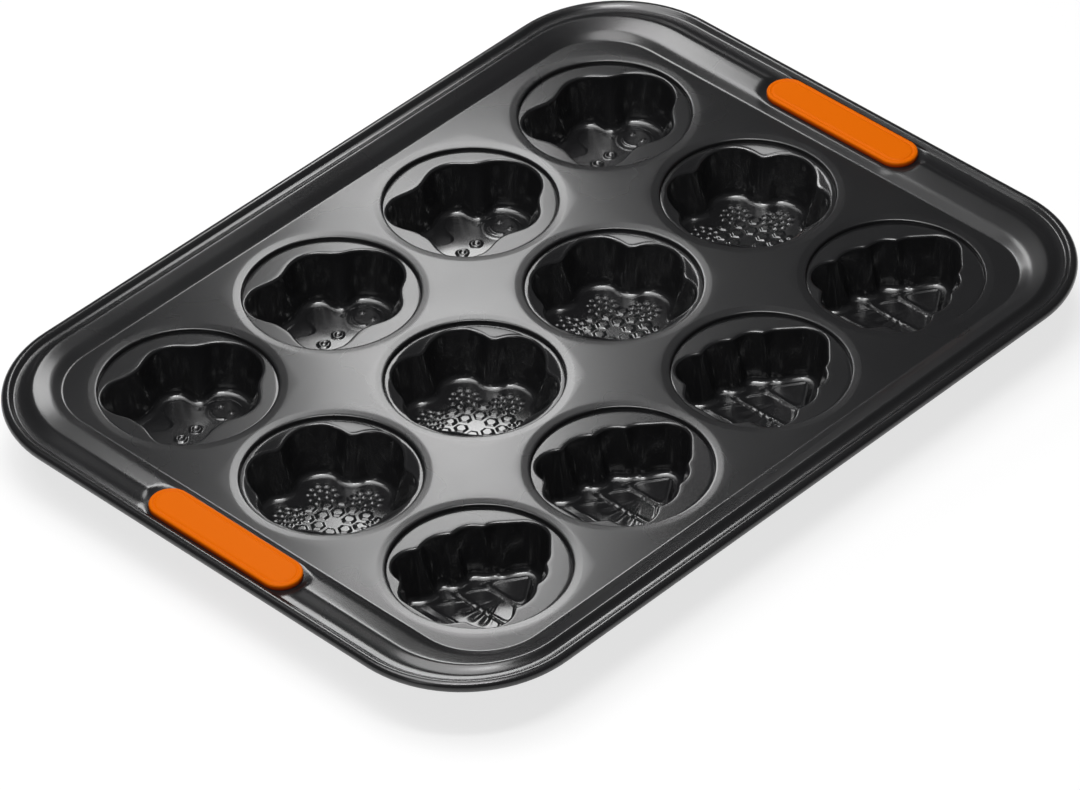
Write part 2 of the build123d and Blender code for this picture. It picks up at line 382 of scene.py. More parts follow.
# Name, mouth, floor relief, ledge slope, depth of the wall ribs at the floor in mm and their angles.
CUP_SHAPES = (
    ("gingerbread_cup", gingerbread_edge, gingerbread_relief, 0.0, 4.6, (-40, 40)),
    ("snowflake_cup", snowflake_edge, snowflake_relief, 0.48, 1.6, (30, 90, 150, 210, 270, 330)),
    ("tree_cup", tree_edge, tree_relief, 0.0, 1.7, (-28, 28, -72, 72, -103, 103, -149, 149)),
)


class PanSheetSizes(bpy.types.PropertyGroup):
    """Sizes of the pressed sheet and its rolled edge."""

    length: FloatProperty(
        name="Length", description="Overall length along X", default=400 * MM, subtype="DISTANCE"
    )
    width: FloatProperty(
        name="Width", description="Overall width along Y", default=300 * MM, subtype="DISTANCE"
    )
    corner: FloatProperty(
        name="Corner", description="Outer corner radius", default=56 * MM, subtype="DISTANCE"
    )
    sheet: FloatProperty(
        name="Sheet", description="Sheet thickness", default=0.9 * MM, subtype="DISTANCE"
    )
    bead: FloatProperty(
        name="Bead", description="Rolled edge radius", default=2.4 * MM, subtype="DISTANCE"
    )
    bead_height: FloatProperty(
        name="Bead height", description="Bead centre above the hole edges", default=2.6 * MM,
        subtype="DISTANCE",
    )
    pitch: FloatProperty(
        name="Pitch", description="Distance between cup centres", default=83.5 * MM, subtype="DISTANCE"
    )
    hole: FloatProperty(
        name="Hole", description="Hole radius", default=37.5 * MM, subtype="DISTANCE"
    )
    bevel: FloatProperty(
        name="Bevel", description="Outer radius of the hole bevel", default=41.4 * MM, subtype="DISTANCE"
    )
    bevel_drop: FloatProperty(
        name="Bevel drop", description="Hole edge below the deck", default=0.28 * MM, subtype="DISTANCE"
    )
    hole_edge: FloatProperty(
        name="Hole edge height", description="Hole edges above the table", default=26.3 * MM,
        subtype="DISTANCE",
    )
    collar: FloatProperty(
        name="Collar", description="Depth of the turned-down collar", default=4.5 * MM, subtype="DISTANCE"
    )


class CupSizes(bpy.types.PropertyGroup):
    """Sizes shared by the twelve cups."""

    ledge: FloatProperty(
        name="Ledge", description="Ledge height above the table", default=24.9 * MM, subtype="DISTANCE"
    )
    sheet: FloatProperty(
        name="Sheet", description="Cup sheet thickness", default=0.8 * MM, subtype="DISTANCE"
    )
    clearance: FloatProperty(
        name="Clearance", description="Gap to the collar", default=0.05 * MM, subtype="DISTANCE"
    )
    hook: FloatProperty(
        name="Hook", description="Height of the hook round the collar", default=2.2 * MM, subtype="DISTANCE"
    )
    draft: FloatProperty(
        name="Draft", description="Wall slope", default=np.radians(8.0), subtype="ANGLE"
    )
    lip: FloatProperty(
        name="Lip", description="Rounding at the mouth", default=1.4 * MM, subtype="DISTANCE"
    )
    floor_bend: FloatProperty(
        name="Floor bend", description="Rounding at the floor", default=3.0 * MM, subtype="DISTANCE"
    )
    around: IntProperty(name="Around", description="Mesh columns round a cup", default=336)
    floor_rings: IntProperty(
        name="Floor rings", description="Mesh rings across the floor", default=56
    )


class GripSizes(bpy.types.PropertyGroup):
    """Sizes of the two silicone grips."""

    length: FloatProperty(
        name="Length", description="Grip length along Y", default=81 * MM, subtype="DISTANCE"
    )
    width: FloatProperty(
        name="Width", description="Grip width along X", default=18 * MM, subtype="DISTANCE"
    )
    inset: FloatProperty(
        name="Inset", description="Grip centre from the pan's end", default=15 * MM, subtype="DISTANCE"
    )
    seat: FloatProperty(
        name="Seat", description="Seat height above the table", default=29.1 * MM, subtype="DISTANCE"
    )
    thickness: FloatProperty(
        name="Thickness", description="Pad thickness", default=2.6 * MM, subtype="DISTANCE"
    )
    seat_margin: FloatProperty(
        name="Seat margin", description="Seat edge beyond the pad", default=0.9 * MM, subtype="DISTANCE"
    )
    runout: FloatProperty(
        name="Run-out", description="Length of the rise round the seat", default=3.5 * MM, subtype="DISTANCE"
    )
    back_length: FloatProperty(
        name="Back length", description="Back pad length", default=74 * MM, subtype="DISTANCE"
    )
    back_width: FloatProperty(
        name="Back width", description="Back pad width", default=13 * MM, subtype="DISTANCE"
    )
    back_thickness: FloatProperty(
        name="Back thickness", description="Back pad", default=1.6 * MM, subtype="DISTANCE"
    )


class StudioLooks(bpy.types.PropertyGroup):
    """Camera and finishes."""

    azimuth: FloatProperty(
        name="Azimuth", description="Camera azimuth", default=np.radians(-45.347), subtype="ANGLE"
    )
    elevation: FloatProperty(
        name="Elevation", description="Camera elevation", default=np.radians(39.556), subtype="ANGLE"
    )
    roll: FloatProperty(
        name="Roll", description="Camera roll", default=np.radians(-1.525), subtype="ANGLE"
    )
    distance: FloatProperty(
        name="Distance", description="Camera distance", default=2870.56 * MM, subtype="DISTANCE"
    )
    lens: FloatProperty(
        name="Lens", description="Focal length on a 36 mm sensor", default=233.083, unit="CAMERA"
    )
    target: FloatVectorProperty(
        name="Target", description="Point the camera looks at",
        default=(-31.543 * MM, -27.468 * MM, 26.3 * MM), subtype="TRANSLATION",
    )
    coating: FloatVectorProperty(
        name="Coating", description="Non-stick coating", default=linear("#151516"), size=4, subtype="COLOR"
    )
    silicone: FloatVectorProperty(
        name="Silicone", description="Grip top", default=linear("#c85c00"), size=4, subtype="COLOR"
    )


def mesh_piece(name, grids, node_names, material, thickness=0.0):
    """One object from closed grids of rows by columns; equal points are welded, so poles close."""
    points = np.concatenate([grid.reshape(-1, 3) for grid in grids])
    faces = []
    start = 0
    for grid in grids:
        rows, columns = grid.shape[:2]
        index = start + np.arange(rows * columns).reshape(rows, columns)
        after = np.roll(index, -1, axis=1)
        faces.append(np.stack([index[:-1], index[1:], after[1:], after[:-1]], axis=-1).reshape(-1, 4))
        start += rows * columns
    mesh = bpy.data.meshes.new(name)
    mesh.from_pydata(points.tolist(), [], np.concatenate(faces).tolist())
    build = bmesh.new()
    build.from_mesh(mesh)
    bmesh.ops.remove_doubles(build, verts=build.verts, dist=WELD)
    build.to_mesh(mesh)
    build.free()
    mesh.validate()
    mesh.shade_smooth()
    mesh.materials.append(material)
    piece = bpy.data.objects.new(name, mesh)
    bpy.context.collection.objects.link(piece)
    if thickness:
        solid = piece.modifiers.new("Sheet", "SOLIDIFY")
        solid.thickness = thickness
        solid.offset = -1.0
        solid.use_rim = True
    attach(piece, "root")
    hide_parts(*node_names)


def rounded_profile(lines):
    """Path through the lines with each bend rounded by a quadratic curve, legs cut in equal steps."""
    corners = np.array([line[:3] for line in lines])
    weights = np.array(LEG_WEIGHTS)
    path = [corners[:1]]
    last = corners[0]
    for number in range(1, len(corners) - 1):
        before = corners[number - 1] - corners[number]
        after = corners[number + 1] - corners[number]
        cut = lines[number][3]
        entry = corners[number] + before * cut / np.sqrt((weights * before**2).sum())
        leave = corners[number] + after * cut / np.sqrt((weights * after**2).sum())
        legs = np.linspace(0, 1, LEG_STEPS + 1)[1:, None]
        path.append(last + (entry - last) * legs)
        t = np.linspace(0, 1, BEND_STEPS + 1)[1:, None]
        path.append(entry * (1 - t) ** 2 + corners[number] * 2 * t * (1 - t) + leave * t**2)
        last = leave
    path.append(last + (corners[-1] - last) * np.linspace(0, 1, LAST_LEG_STEPS + 1)[1:, None])
    return np.concatenate(path)


def spaced(places, steps):
    """All the places, with each stretch between two of them cut in so many equal steps."""
    runs = [np.array(places[:1])]
    for low, high, count in zip(places[:-1], places[1:], steps):
        runs.append(np.linspace(low, high, count + 1)[1:])
    return np.concatenate(runs)


def border_columns(half_x, half_y, pitch):
    """Columns of the border as rows of (share of the straight in x, in y, cos, sin), anticlockwise.

    half_x and half_y are half lengths of the deck's straight sides, and the pitch places columns
    where the cells of the cups meet the border. All three are in millimetres.
    """
    half_end = spaced((0.0, CLOSE_COLUMNS[0], pitch / 2, CLOSE_COLUMNS[1], half_y), END_STEPS)
    half_side = spaced((0.0, pitch, half_x), SIDE_STEPS)
    end = np.concatenate([-half_end[:0:-1], half_end]) / half_y
    side = np.concatenate([half_side[::-1], -half_side[1:]]) / half_x
    turn = np.radians(np.linspace(0, 90, CORNER_STEPS + 1)[1:-1])
    runs = []
    for quarter in range(4):
        sign = 1 if quarter < 2 else -1
        if quarter % 2 == 0:
            runs.append(np.stack([sign + 0 * end, sign * end, sign + 0 * end, 0 * end], axis=1))
        else:
            runs.append(np.stack([sign * side, sign + 0 * side, 0 * side, sign + 0 * side], axis=1))
        angle = turn + quarter * np.pi / 2
        corner_x = np.sign(np.cos(angle))
        corner_y = np.sign(np.sin(angle))
        runs.append(np.stack([corner_x, corner_y, np.cos(angle), np.sin(angle)], axis=1))
    return np.concatenate(runs)


def border_points(columns, profile, sizes):
    """Rounded rectangle per profile station: p = share * (half side - radius) + radius * (cos, sin)."""
    end_inset = profile[:, 0, None] * MM
    side_inset = profile[:, 1, None] * MM
    radius = sizes.corner - (end_inset + side_inset) / 2
    x = columns[:, 0] * (sizes.length / 2 - end_inset - radius) + radius * columns[:, 2]
    y = columns[:, 1] * (sizes.width / 2 - side_inset - radius) + radius * columns[:, 3]
    z = sizes.hole_edge + profile[:, 2, None] * MM + 0 * x
    return np.stack([x, y, z], axis=-1)


def lower_to_seats(points, sizes, grips, rows):
    """Within the first rows, brings the sheet down to the flat grip seats with a soft run-out."""
    half_axis = (grips.length - grips.width) / 2
    reach = grips.width / 2 + grips.seat_margin
    x = np.abs(points[:rows, :, 0]) - (sizes.length / 2 - grips.inset)
    y = np.maximum(np.abs(points[:rows, :, 1]) - half_axis, 0)
    share = smooth_step(0, grips.runout, np.hypot(x, y) - reach)
    z = points[:rows, :, 2]
    points[:rows, :, 2] = grips.seat + (z - grips.seat) * share
    return points


def hole_profile(sizes):
    """Radius and height from the collar's lower end up, over the rounded hole edge, to the bevel's rim."""
    turn = np.radians(np.linspace(*HOLE_TURN, HOLE_TURN_STEPS + 1))
    round_off = HOLE_ROUNDING * MM
    deck = sizes.hole_edge + BORDER_LINES[0][2] * MM
    edge_radius = sizes.hole + round_off + round_off * np.cos(turn)
    edge_height = deck - sizes.bevel_drop - round_off + round_off * np.sin(turn)
    wall = np.linspace(sizes.hole_edge - sizes.collar, edge_height[0], HOLE_WALL_STEPS + 1)[:-1]
    bevel_low = edge_height[-1]
    slope = np.linspace(edge_radius[-1], sizes.bevel - RIM_SOFTENING[0] * MM, BEVEL_STEPS + 1)[1:]
    rise = bevel_low + (slope - edge_radius[-1]) / (sizes.bevel - edge_radius[-1]) * (deck - bevel_low)
    radius = np.concatenate([
        0 * wall + sizes.hole, edge_radius, slope, [sizes.bevel + RIM_SOFTENING[1] * MM],
    ])
    height = np.concatenate([wall, edge_height, rise, [deck]])
    return radius, height


def cell_outline(centre, deck_edge, sizes):
    """Outline of one hole's cell: its part of the deck's edge, and the straight sides inside the deck."""
    half_pitch = sizes.pitch / 2
    grid_half = np.array([CUPS_LONG, CUP_ROWS]) * half_pitch
    away = deck_edge - centre
    inside = np.abs(away) <= half_pitch + CELL_SLACK
    outermost = np.abs(np.abs(centre) + half_pitch - grid_half) < MM
    beyond = np.sign(centre) * away > 0
    outline = [deck_edge[(inside | (outermost & beyond)).all(axis=1)]]
    low = centre - half_pitch
    high = centre + half_pitch
    deck_half = np.abs(deck_edge).max(axis=0)
    run_low = np.maximum(low, -deck_half)
    run_high = np.minimum(high, deck_half)
    share = np.linspace(0, 1, CELL_STEPS + 1)
    for across in (0, 1):
        along = 1 - across
        for place in (low[across], high[across]):
            if abs(place) < grid_half[across] - MM:
                side = np.full((len(share), 2), place)
                side[:, along] = run_low[along] + share * (run_high[along] - run_low[along])
                outline.append(side)
    return np.concatenate(outline)


def cell_patch(centre, deck_edge, sizes):
    """Patch round one hole: rays from the hole's profile to the cell's outline, which neighbours share."""
    outline = cell_outline(centre, deck_edge, sizes)
    angle = np.arctan2(outline[:, 1] - centre[1], outline[:, 0] - centre[0])
    first = np.unique(np.round(angle, ANGLE_DIGITS), return_index=True)[1]
    outline = outline[first]
    angle = angle[first]
    radius, height = hole_profile(sizes)
    circle_x = centre[0] + radius[:, None] * np.cos(angle)
    circle_y = centre[1] + radius[:, None] * np.sin(angle)
    rings = np.stack([circle_x, circle_y, height[:, None] + 0 * circle_x], axis=-1)
    spread = np.array(DECK_SHARES)[:, None]
    deck_x = circle_x[-1] + spread * (outline[:, 0] - circle_x[-1])
    deck_y = circle_y[-1] + spread * (outline[:, 1] - circle_y[-1])
    deck = np.stack([deck_x, deck_y, height[-1] + 0 * deck_x], axis=-1)
    return np.concatenate([rings, deck])


def cup_places(sizes, row):
    """Centres of the four cups of a row, numbered along +X; row 0 lies at +Y."""
    y = ((CUP_ROWS - 1) / 2 - row) * sizes.pitch
    return [np.array([(number - (CUPS_LONG - 1) / 2) * sizes.pitch, y]) for number in range(CUPS_LONG)]


def mouth_outline(edge, angle):
    """Mouth in the complex plane: on each ray, the outermost place where the distance is zero."""
    sample = np.linspace(0, MOUTH_SPAN, MOUTH_SAMPLES)
    field = edge(sample[:, None] * np.cos(angle), sample[:, None] * np.sin(angle))
    last = np.minimum(MOUTH_SAMPLES - 1 - np.argmax(field[::-1] <= 0, axis=0), MOUTH_SAMPLES - 2)
    column = np.arange(len(angle))
    low = field[last, column]
    high = field[last + 1, column]
    return (sample[last] - low / (high - low) * sample[1]) * np.exp(1j * angle)


def cup_points(centre, shape, cups, sizes):
    """Cup surface: mouth(angle) is where the shape's distance is zero, and a ring is mouth + level * normal.

    Rings run from the centre over the relief floor, the floor bend, the drafted wall, the lip
    and the ledge to the hook round the collar. Ribs at the shape's angles deepen down the wall.
    """
    edge, relief, slope, rib_depth, rib_angles = shape
    angle = np.linspace(0, 2 * np.pi, cups.around, endpoint=False)
    lip = cups.lip / MM
    bend = cups.floor_bend / MM
    ledge = cups.ledge / MM
    floor = cups.sheet / MM
    slant = np.tan(cups.draft)
    seat = (sizes.hole - cups.clearance) / MM
    mouth = mouth_outline(edge, angle)
    along = np.roll(mouth, -1) - np.roll(mouth, 1)
    normal = -1j * along / np.abs(along)

    def ledge_height(radius):
        """Ledge falls away in a cone inside a share of the seat radius where the shape has a slope."""
        return ledge - slope * np.maximum(CONE_START * seat - radius, 0)

    turn = np.radians(np.linspace(0, LIP_TURN, LIP_STEPS + 1))
    lip_level = lip - lip * np.sin(turn)
    lip_rings = mouth + lip_level[:, None] * normal
    lip_rings = lip_rings * np.minimum((seat - LIP_TO_SEAT) / np.abs(lip_rings), 1.0)
    lip_height = ledge_height(np.abs(lip_rings[0])) - (lip - lip * np.cos(turn))[:, None]

    wall_share = np.linspace(0, 1, WALL_STEPS + 1)[1:]
    wall_height = lip_height[-1] + (floor + bend - lip_height[-1]) * wall_share[:, None]
    wall_foot = -slant * (ledge - lip - floor - bend)
    wall_level = lip_level[-1] + (wall_foot - lip_level[-1]) * wall_share
    bend_turn = np.radians(np.linspace(0, 90, FLOOR_BEND_STEPS + 1))[1:]
    bend_level = wall_foot - bend * (1 - np.cos(bend_turn))
    bend_height = floor + bend * (1 - np.sin(bend_turn))[:, None] + 0 * angle
    levels = np.concatenate([wall_level, bend_level])
    rib = np.zeros(cups.around)
    for rib_angle in rib_angles:
        away = np.angle(np.exp(1j * (angle - np.radians(rib_angle))))
        rib = rib + np.exp(-(away / RIB_WIDTH) ** 2)
    down = np.minimum(levels / wall_foot, 1.0)[:, None]
    well_rings = mouth + (levels[:, None] - rib_depth * rib * down**RIB_GROWTH) * normal

    share = np.linspace(1, 0, cups.floor_rings)[1:, None]
    floor_rings = well_rings[-1] * share
    fade = smooth_step(0.0, RELIEF_FADE, np.abs(well_rings[-1]) - np.abs(floor_rings))
    floor_height = floor + relief(floor_rings.real, floor_rings.imag) * fade

    direction = lip_rings[0] / np.abs(lip_rings[0])
    ledge_share = np.linspace(1, 0, LEDGE_STEPS + 1)[:-1, None]
    ledge_rings = lip_rings[0] + ((seat - LEDGE_CORNER) * direction - lip_rings[0]) * ledge_share
    under = (sizes.hole_edge - sizes.collar - cups.clearance) / MM
    outer = (sizes.hole + sizes.sheet + cups.clearance) / MM
    hook_top = under + cups.hook / MM
    corner = LEDGE_CHAMFER
    skirt_radius = np.array([outer, outer, seat, seat, seat, seat - corner])
    skirt_height = np.array([
        hook_top, under, under, ledge - SEAT_DEPTH, ledge - LEDGE_CORNER, ledge - corner,
    ])
    skirt_rings = skirt_radius[:, None] * direction
    rings = np.concatenate([skirt_rings, ledge_rings, lip_rings, well_rings, floor_rings])[::-1]
    heights = np.concatenate([
        skirt_height[:, None] + 0 * angle, ledge_height(np.abs(ledge_rings)), lip_height, wall_height,
        bend_height, floor_height,
    ])[::-1]
    return np.stack([centre[0] + rings.real * MM, centre[1] + rings.imag * MM, heights * MM], axis=-1)


def stadium_rings(length, width, top, thickness, section, centre_x):
    """Closed pad, long along Y: each station of the section is two half circles joined by straights.

    The first and last stations have no width, so the pad closes on its middle line.
    """
    stations = [(length - width, 0.0, top)]
    for inset, drop in section:
        stations.append((length - 2 * inset * MM, width - 2 * inset * MM, top - drop * MM))
    stations.append((length - width, 0.0, top - thickness))
    turn = np.linspace(0, 2 * np.pi, GRIP_COLUMNS, endpoint=False) + np.pi / GRIP_COLUMNS
    cos = np.cos(turn)
    sin = np.sin(turn)
    lengths, widths, heights = np.array(stations).T[:, :, None]
    x = centre_x + widths / 2 * cos
    y = np.sign(sin) * (lengths - widths) / 2 + widths / 2 * sin
    return np.stack([x, y, heights + 0 * x], axis=-1)


def add_node(tree, kind, settings, values):
    """One shader node with its settings, and its inputs given as values or as sockets to link from."""
    made = tree.nodes.new(kind)
    for name, value in settings.items():
        setattr(made, name, value)
    for name, value in values.items():
        if isinstance(value, bpy.types.NodeSocket):
            tree.links.new(value, made.inputs[name])
        else:
            made.inputs[name].default_value = value
    return made


def empty_material(name):
    """New node material with only its output."""
    material = bpy.data.materials.new(name)
    material.use_nodes = True
    tree = material.node_tree
    tree.nodes.clear()
    output = tree.nodes.new("ShaderNodeOutputMaterial")
    return material, tree, output


def centred_coordinates(tree):
    """Object coordinates through a mapping at the pan's centre, in metres."""
    coordinates = add_node(tree, "ShaderNodeTexCoord", {}, {})
    place = add_node(tree, "ShaderNodeMapping", {}, {"Vector": coordinates.outputs["Object"]})
    return place.outputs["Vector"]


def nonstick_coating(looks):
    """Sprayed non-stick coating: charcoal with fine metal flake, satin above and glossier in the wells."""
    name = "nonstick_coating"
    if name in bpy.data.materials:
        return bpy.data.materials[name]
    material, tree, output = empty_material(name)
    place = centred_coordinates(tree)
    # Flake: 0.35 mm specks that make the grey sparkle a little.
    flake = add_node(tree, "ShaderNodeTexNoise", {}, {"Vector": place, "Scale": 2800.0, "Detail": 2.0})
    # Peel: 2 mm ripple of the sprayed film, which softens reflections unevenly.
    peel = add_node(tree, "ShaderNodeTexNoise", {}, {"Vector": place, "Scale": 420.0, "Detail": 2.0})
    # Cloud: 60 mm patches where the film is slightly duller.
    cloud = add_node(tree, "ShaderNodeTexNoise", {}, {"Vector": place, "Scale": 16.0, "Detail": 3.0})
    dark = [channel * DARK_FLAKE for channel in looks.coating[:3]] + [1.0]
    bright = [channel * BRIGHT_FLAKE for channel in looks.coating[:3]] + [1.0]
    speck = add_node(tree, "ShaderNodeMapRange", {}, {"Value": flake.outputs["Fac"], **NOISE_SPAN})
    colour = add_node(
        tree, "ShaderNodeMix", {"data_type": "RGBA"}, {0: speck.outputs["Result"], 6: dark, 7: bright}
    )
    height = add_node(tree, "ShaderNodeSeparateXYZ", {}, {"Vector": place})
    # Wells: from the lips down the film is thicker and shines more.
    gloss = add_node(
        tree, "ShaderNodeMapRange", {},
        {"Value": height.outputs["Z"], **WELL_SPAN, "To Min": 0.6, "To Max": 0.25},
    )
    smoother = add_node(
        tree, "ShaderNodeMapRange", {},
        {"Value": height.outputs["Z"], **WELL_SPAN, "To Min": 0.8, "To Max": 1.0},
    )
    satin = add_node(
        tree, "ShaderNodeMapRange", {},
        {"Value": cloud.outputs["Fac"], **NOISE_SPAN, "To Min": 0.25, "To Max": 0.31},
    )
    roughness = add_node(
        tree, "ShaderNodeMath", {"operation": "MULTIPLY"},
        {0: satin.outputs["Result"], 1: smoother.outputs["Result"]},
    )
    ripple = add_node(
        tree, "ShaderNodeBump", {}, {"Height": peel.outputs["Fac"], "Strength": 0.06, "Distance": 0.05 * MM}
    )
    grain = add_node(
        tree, "ShaderNodeBump", {},
        {
            "Height": flake.outputs["Fac"], "Strength": 0.1, "Distance": 0.01 * MM,
            "Normal": ripple.outputs["Normal"],
        },
    )
    shader = add_node(
        tree, "ShaderNodeBsdfPrincipled", {},
        {
            "Base Color": colour.outputs[2], "Roughness": roughness.outputs[0], "Metallic": 0.05,
            "Coat Weight": gloss.outputs["Result"], "Coat Roughness": 0.13, "Normal": grain.outputs["Normal"],
        },
    )
    tree.links.new(shader.outputs[0], output.inputs[0])
    return material


def moulded_silicone(looks):
    """Moulded silicone: matt orange with a fine sandblasted skin, and painted shade that makes the skirt
    below the top darker and redder.
    """
    material, tree, output = empty_material("moulded_silicone")
    place = centred_coordinates(tree)
    height = add_node(tree, "ShaderNodeSeparateXYZ", {}, {"Vector": place})
    # Skirt: painted shade, the lower flank is painted darker and redder than the top.
    skirt = add_node(tree, "ShaderNodeMapRange", {}, {"Value": height.outputs["Z"], **SKIRT_SHADE_SPAN})
    colour = add_node(
        tree, "ShaderNodeMix", {"data_type": "RGBA"},
        {0: skirt.outputs["Result"], 6: linear("#a03200"), 7: looks.silicone},
    )
    # Skin: 0.5 mm grain from the blasted mould.
    skin = add_node(tree, "ShaderNodeTexNoise", {}, {"Vector": place, "Scale": 1900.0, "Detail": 3.0})
    roughness = add_node(
        tree, "ShaderNodeMapRange", {},
        {"Value": skin.outputs["Fac"], **NOISE_SPAN, "To Min": 0.42, "To Max": 0.56},
    )
    bump = add_node(
        tree, "ShaderNodeBump", {}, {"Height": skin.outputs["Fac"], "Strength": 0.2, "Distance": 0.03 * MM}
    )
    shader = add_node(
        tree, "ShaderNodeBsdfPrincipled", {},
        {
            "Base Color": colour.outputs[2], "Roughness": roughness.outputs["Result"],
            "Normal": bump.outputs["Normal"], "Specular IOR Level": 0.06, "IOR": 1.41,
        },
    )
    tree.links.new(shader.outputs[0], output.inputs[0])
    return material


def drawn_steel_wire():
    """Bright drawn wire: steel whose polish varies in a fine grain."""
    material, tree, output = empty_material("drawn_steel_wire")
    place = centred_coordinates(tree)
    # Grain: 0.7 mm duller and brighter spots left by drawing.
    grain = add_node(tree, "ShaderNodeTexNoise", {}, {"Vector": place, "Scale": 1500.0, "Detail": 4.0})
    roughness = add_node(
        tree, "ShaderNodeMapRange", {},
        {"Value": grain.outputs["Fac"], **NOISE_SPAN, "To Min": 0.25, "To Max": 0.42},
    )
    shader = add_node(
        tree, "ShaderNodeBsdfPrincipled", {},
        {"Base Color": linear("#b9b8b4"), "Roughness": roughness.outputs["Result"], "Metallic": 1.0},
    )
    tree.links.new(shader.outputs[0], output.inputs[0])
    return material


def white_paper_floor():
    """White paper that takes a soft shadow and looks paler to the camera than it is lit."""
    material, tree, output = empty_material("white_paper_floor")
    paper = add_node(
        tree, "ShaderNodeBsdfPrincipled", {},
        {"Base Color": linear("#f2f2f2"), "Roughness": 0.3, "Specular IOR Level": 0.3},
    )
    # Glow: for the camera alone part of the paper is plain white, which keeps the shadow pale.
    glow = add_node(tree, "ShaderNodeEmission", {}, {"Strength": 1.0})
    path = add_node(tree, "ShaderNodeLightPath", {}, {})
    share = add_node(
        tree, "ShaderNodeMath", {"operation": "MULTIPLY"}, {0: path.outputs["Is Camera Ray"], 1: GLOW_SHARE}
    )
    mixed = add_node(
        tree, "ShaderNodeMixShader", {}, {0: share.outputs[0], 1: paper.outputs[0], 2: glow.outputs[0]}
    )
    tree.links.new(mixed.outputs[0], output.inputs[0])
    return material


class MakePanSheet(bpy.types.Operator):
    """Pressed sheet with twelve bevelled holes, banded border, grip seats and rolled edge"""

    bl_idname = "muffinpan.sheet"
    bl_label = "Pan sheet"

    def execute(self, context):
        scene = context.scene
        sizes = scene.pan_sheet
        deck_inset_x, deck_inset_y = BORDER_LINES[0][:2]
        deck_radius = sizes.corner / MM - (deck_inset_x + deck_inset_y) / 2
        half_x = sizes.length / 2 / MM - deck_inset_x - deck_radius
        half_y = sizes.width / 2 / MM - deck_inset_y - deck_radius
        columns = border_columns(half_x, half_y, sizes.pitch / MM)
        flat = rounded_profile(BORDER_LINES)
        turn = np.radians(np.linspace(BEAD_START, BEAD_END, BEAD_STEPS)[1:])
        bead = sizes.bead / MM
        inset = bead - bead * np.cos(turn)
        height = sizes.bead_height / MM + bead * np.sin(turn)
        profile = np.concatenate([flat, np.stack([inset, inset, height], axis=1)])
        border = border_points(columns, profile, sizes)
        border = lower_to_seats(border, sizes, scene.grips, len(flat) - SEAT_STOP)
        grids = [border]
        for row in range(CUP_ROWS):
            for centre in cup_places(sizes, row):
                grids.append(cell_patch(centre, border[0, :, :2], sizes))
        coating = nonstick_coating(scene.studio)
        mesh_piece("pan_sheet", grids, ["pan_frame"], coating, sizes.sheet)
        return {"FINISHED"}


class MakeCups(bpy.types.Operator):
    """Twelve pressed cups in three shapes, with their floor relief"""

    bl_idname = "muffinpan.cups"
    bl_label = "Cups"

    def execute(self, context):
        scene = context.scene
        coating = nonstick_coating(scene.studio)
        for row, (kind, *shape) in enumerate(CUP_SHAPES):
            for number, centre in enumerate(cup_places(scene.pan_sheet, row), 1):
                grid = cup_points(centre, shape, scene.cups, scene.pan_sheet)
                name = f"{kind}_{number}"
                mesh_piece(f"pressed_{name}", [grid], [name], coating, scene.cups.sheet)
        return {"FINISHED"}


class MakeGrips(bpy.types.Operator):
    """Two silicone grips: top pad with a moulded line, and back pad under the sheet"""

    bl_idname = "muffinpan.grips"
    bl_label = "Grips"

    def execute(self, context):
        scene = context.scene
        grips = scene.grips
        silicone = moulded_silicone(scene.studio)
        top = grips.seat + grips.thickness
        back_top = grips.seat - scene.pan_sheet.sheet
        pad = (grips.length, grips.width, top, grips.thickness, PAD_SECTION)
        back = (grips.back_length, grips.back_width, back_top, grips.back_thickness, BACK_SECTION)
        for node, side in (("grip_left", -1), ("grip_right", 1)):
            centre_x = side * (scene.pan_sheet.length / 2 - grips.inset)
            grids = [stadium_rings(*pad, centre_x), stadium_rings(*back, centre_x)]
            mesh_piece(f"silicone_{node}", grids, [node], silicone)
        return {"FINISHED"}


class PaintWire(bpy.types.Operator):
    """Steel finish on the rim wire that the rolled edge covers"""

    bl_idname = "muffinpan.wire"
    bl_label = "Rim wire"

    def execute(self, context):
        steel = drawn_steel_wire()
        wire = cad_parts["rim_wire"]
        wire.data.materials.clear()
        wire.data.materials.append(steel)
        return {"FINISHED"}


def stage_object(name, data):
    """Object of the stage in the scene, outside the part."""
    item = bpy.data.objects.new(name, data)
    bpy.context.collection.objects.link(item)
    return item


def area_lamp(name, place, aim, size, power):
    """Soft rectangular lamp at a place, turned to an aim point."""
    light = bpy.data.lights.new(name, "AREA")
    light.shape = "RECTANGLE"
    light.size, light.size_y = size
    light.energy = power
    lamp = stage_object(name, light)
    lamp.location = place
    direction = Vector(aim) - Vector(place)
    lamp.rotation_euler = direction.to_track_quat("-Z", "Y").to_euler()


def paper_floor():
    """Square sheet of paper just under the pan."""
    half = FLOOR_HALF
    corners = [(x, y, FLOOR_HEIGHT) for x, y in ((-half, -half), (half, -half), (half, half), (-half, half))]
    mesh = bpy.data.meshes.new("floor")
    mesh.from_pydata(corners, [], [(0, 1, 2, 3)])
    mesh.materials.append(white_paper_floor())
    stage_object("floor", mesh)


def studio_world():
    """Dim grey surroundings that the camera sees as white."""
    world = bpy.data.worlds.new("studio_world")
    world.use_nodes = True
    tree = world.node_tree
    tree.nodes.clear()
    path = add_node(tree, "ShaderNodeLightPath", {}, {})
    colour = add_node(
        tree, "ShaderNodeMix", {"data_type": "RGBA"},
        {0: path.outputs["Is Camera Ray"], 6: (0.08, 0.08, 0.082, 1.0), 7: (1.0, 1.0, 1.0, 1.0)},
    )
    sky = add_node(tree, "ShaderNodeBackground", {}, {"Color": colour.outputs[2], "Strength": 1.0})
    ending = add_node(tree, "ShaderNodeOutputWorld", {}, {"Surface": sky.outputs[0]})
    ending.is_active_output = True
    return world


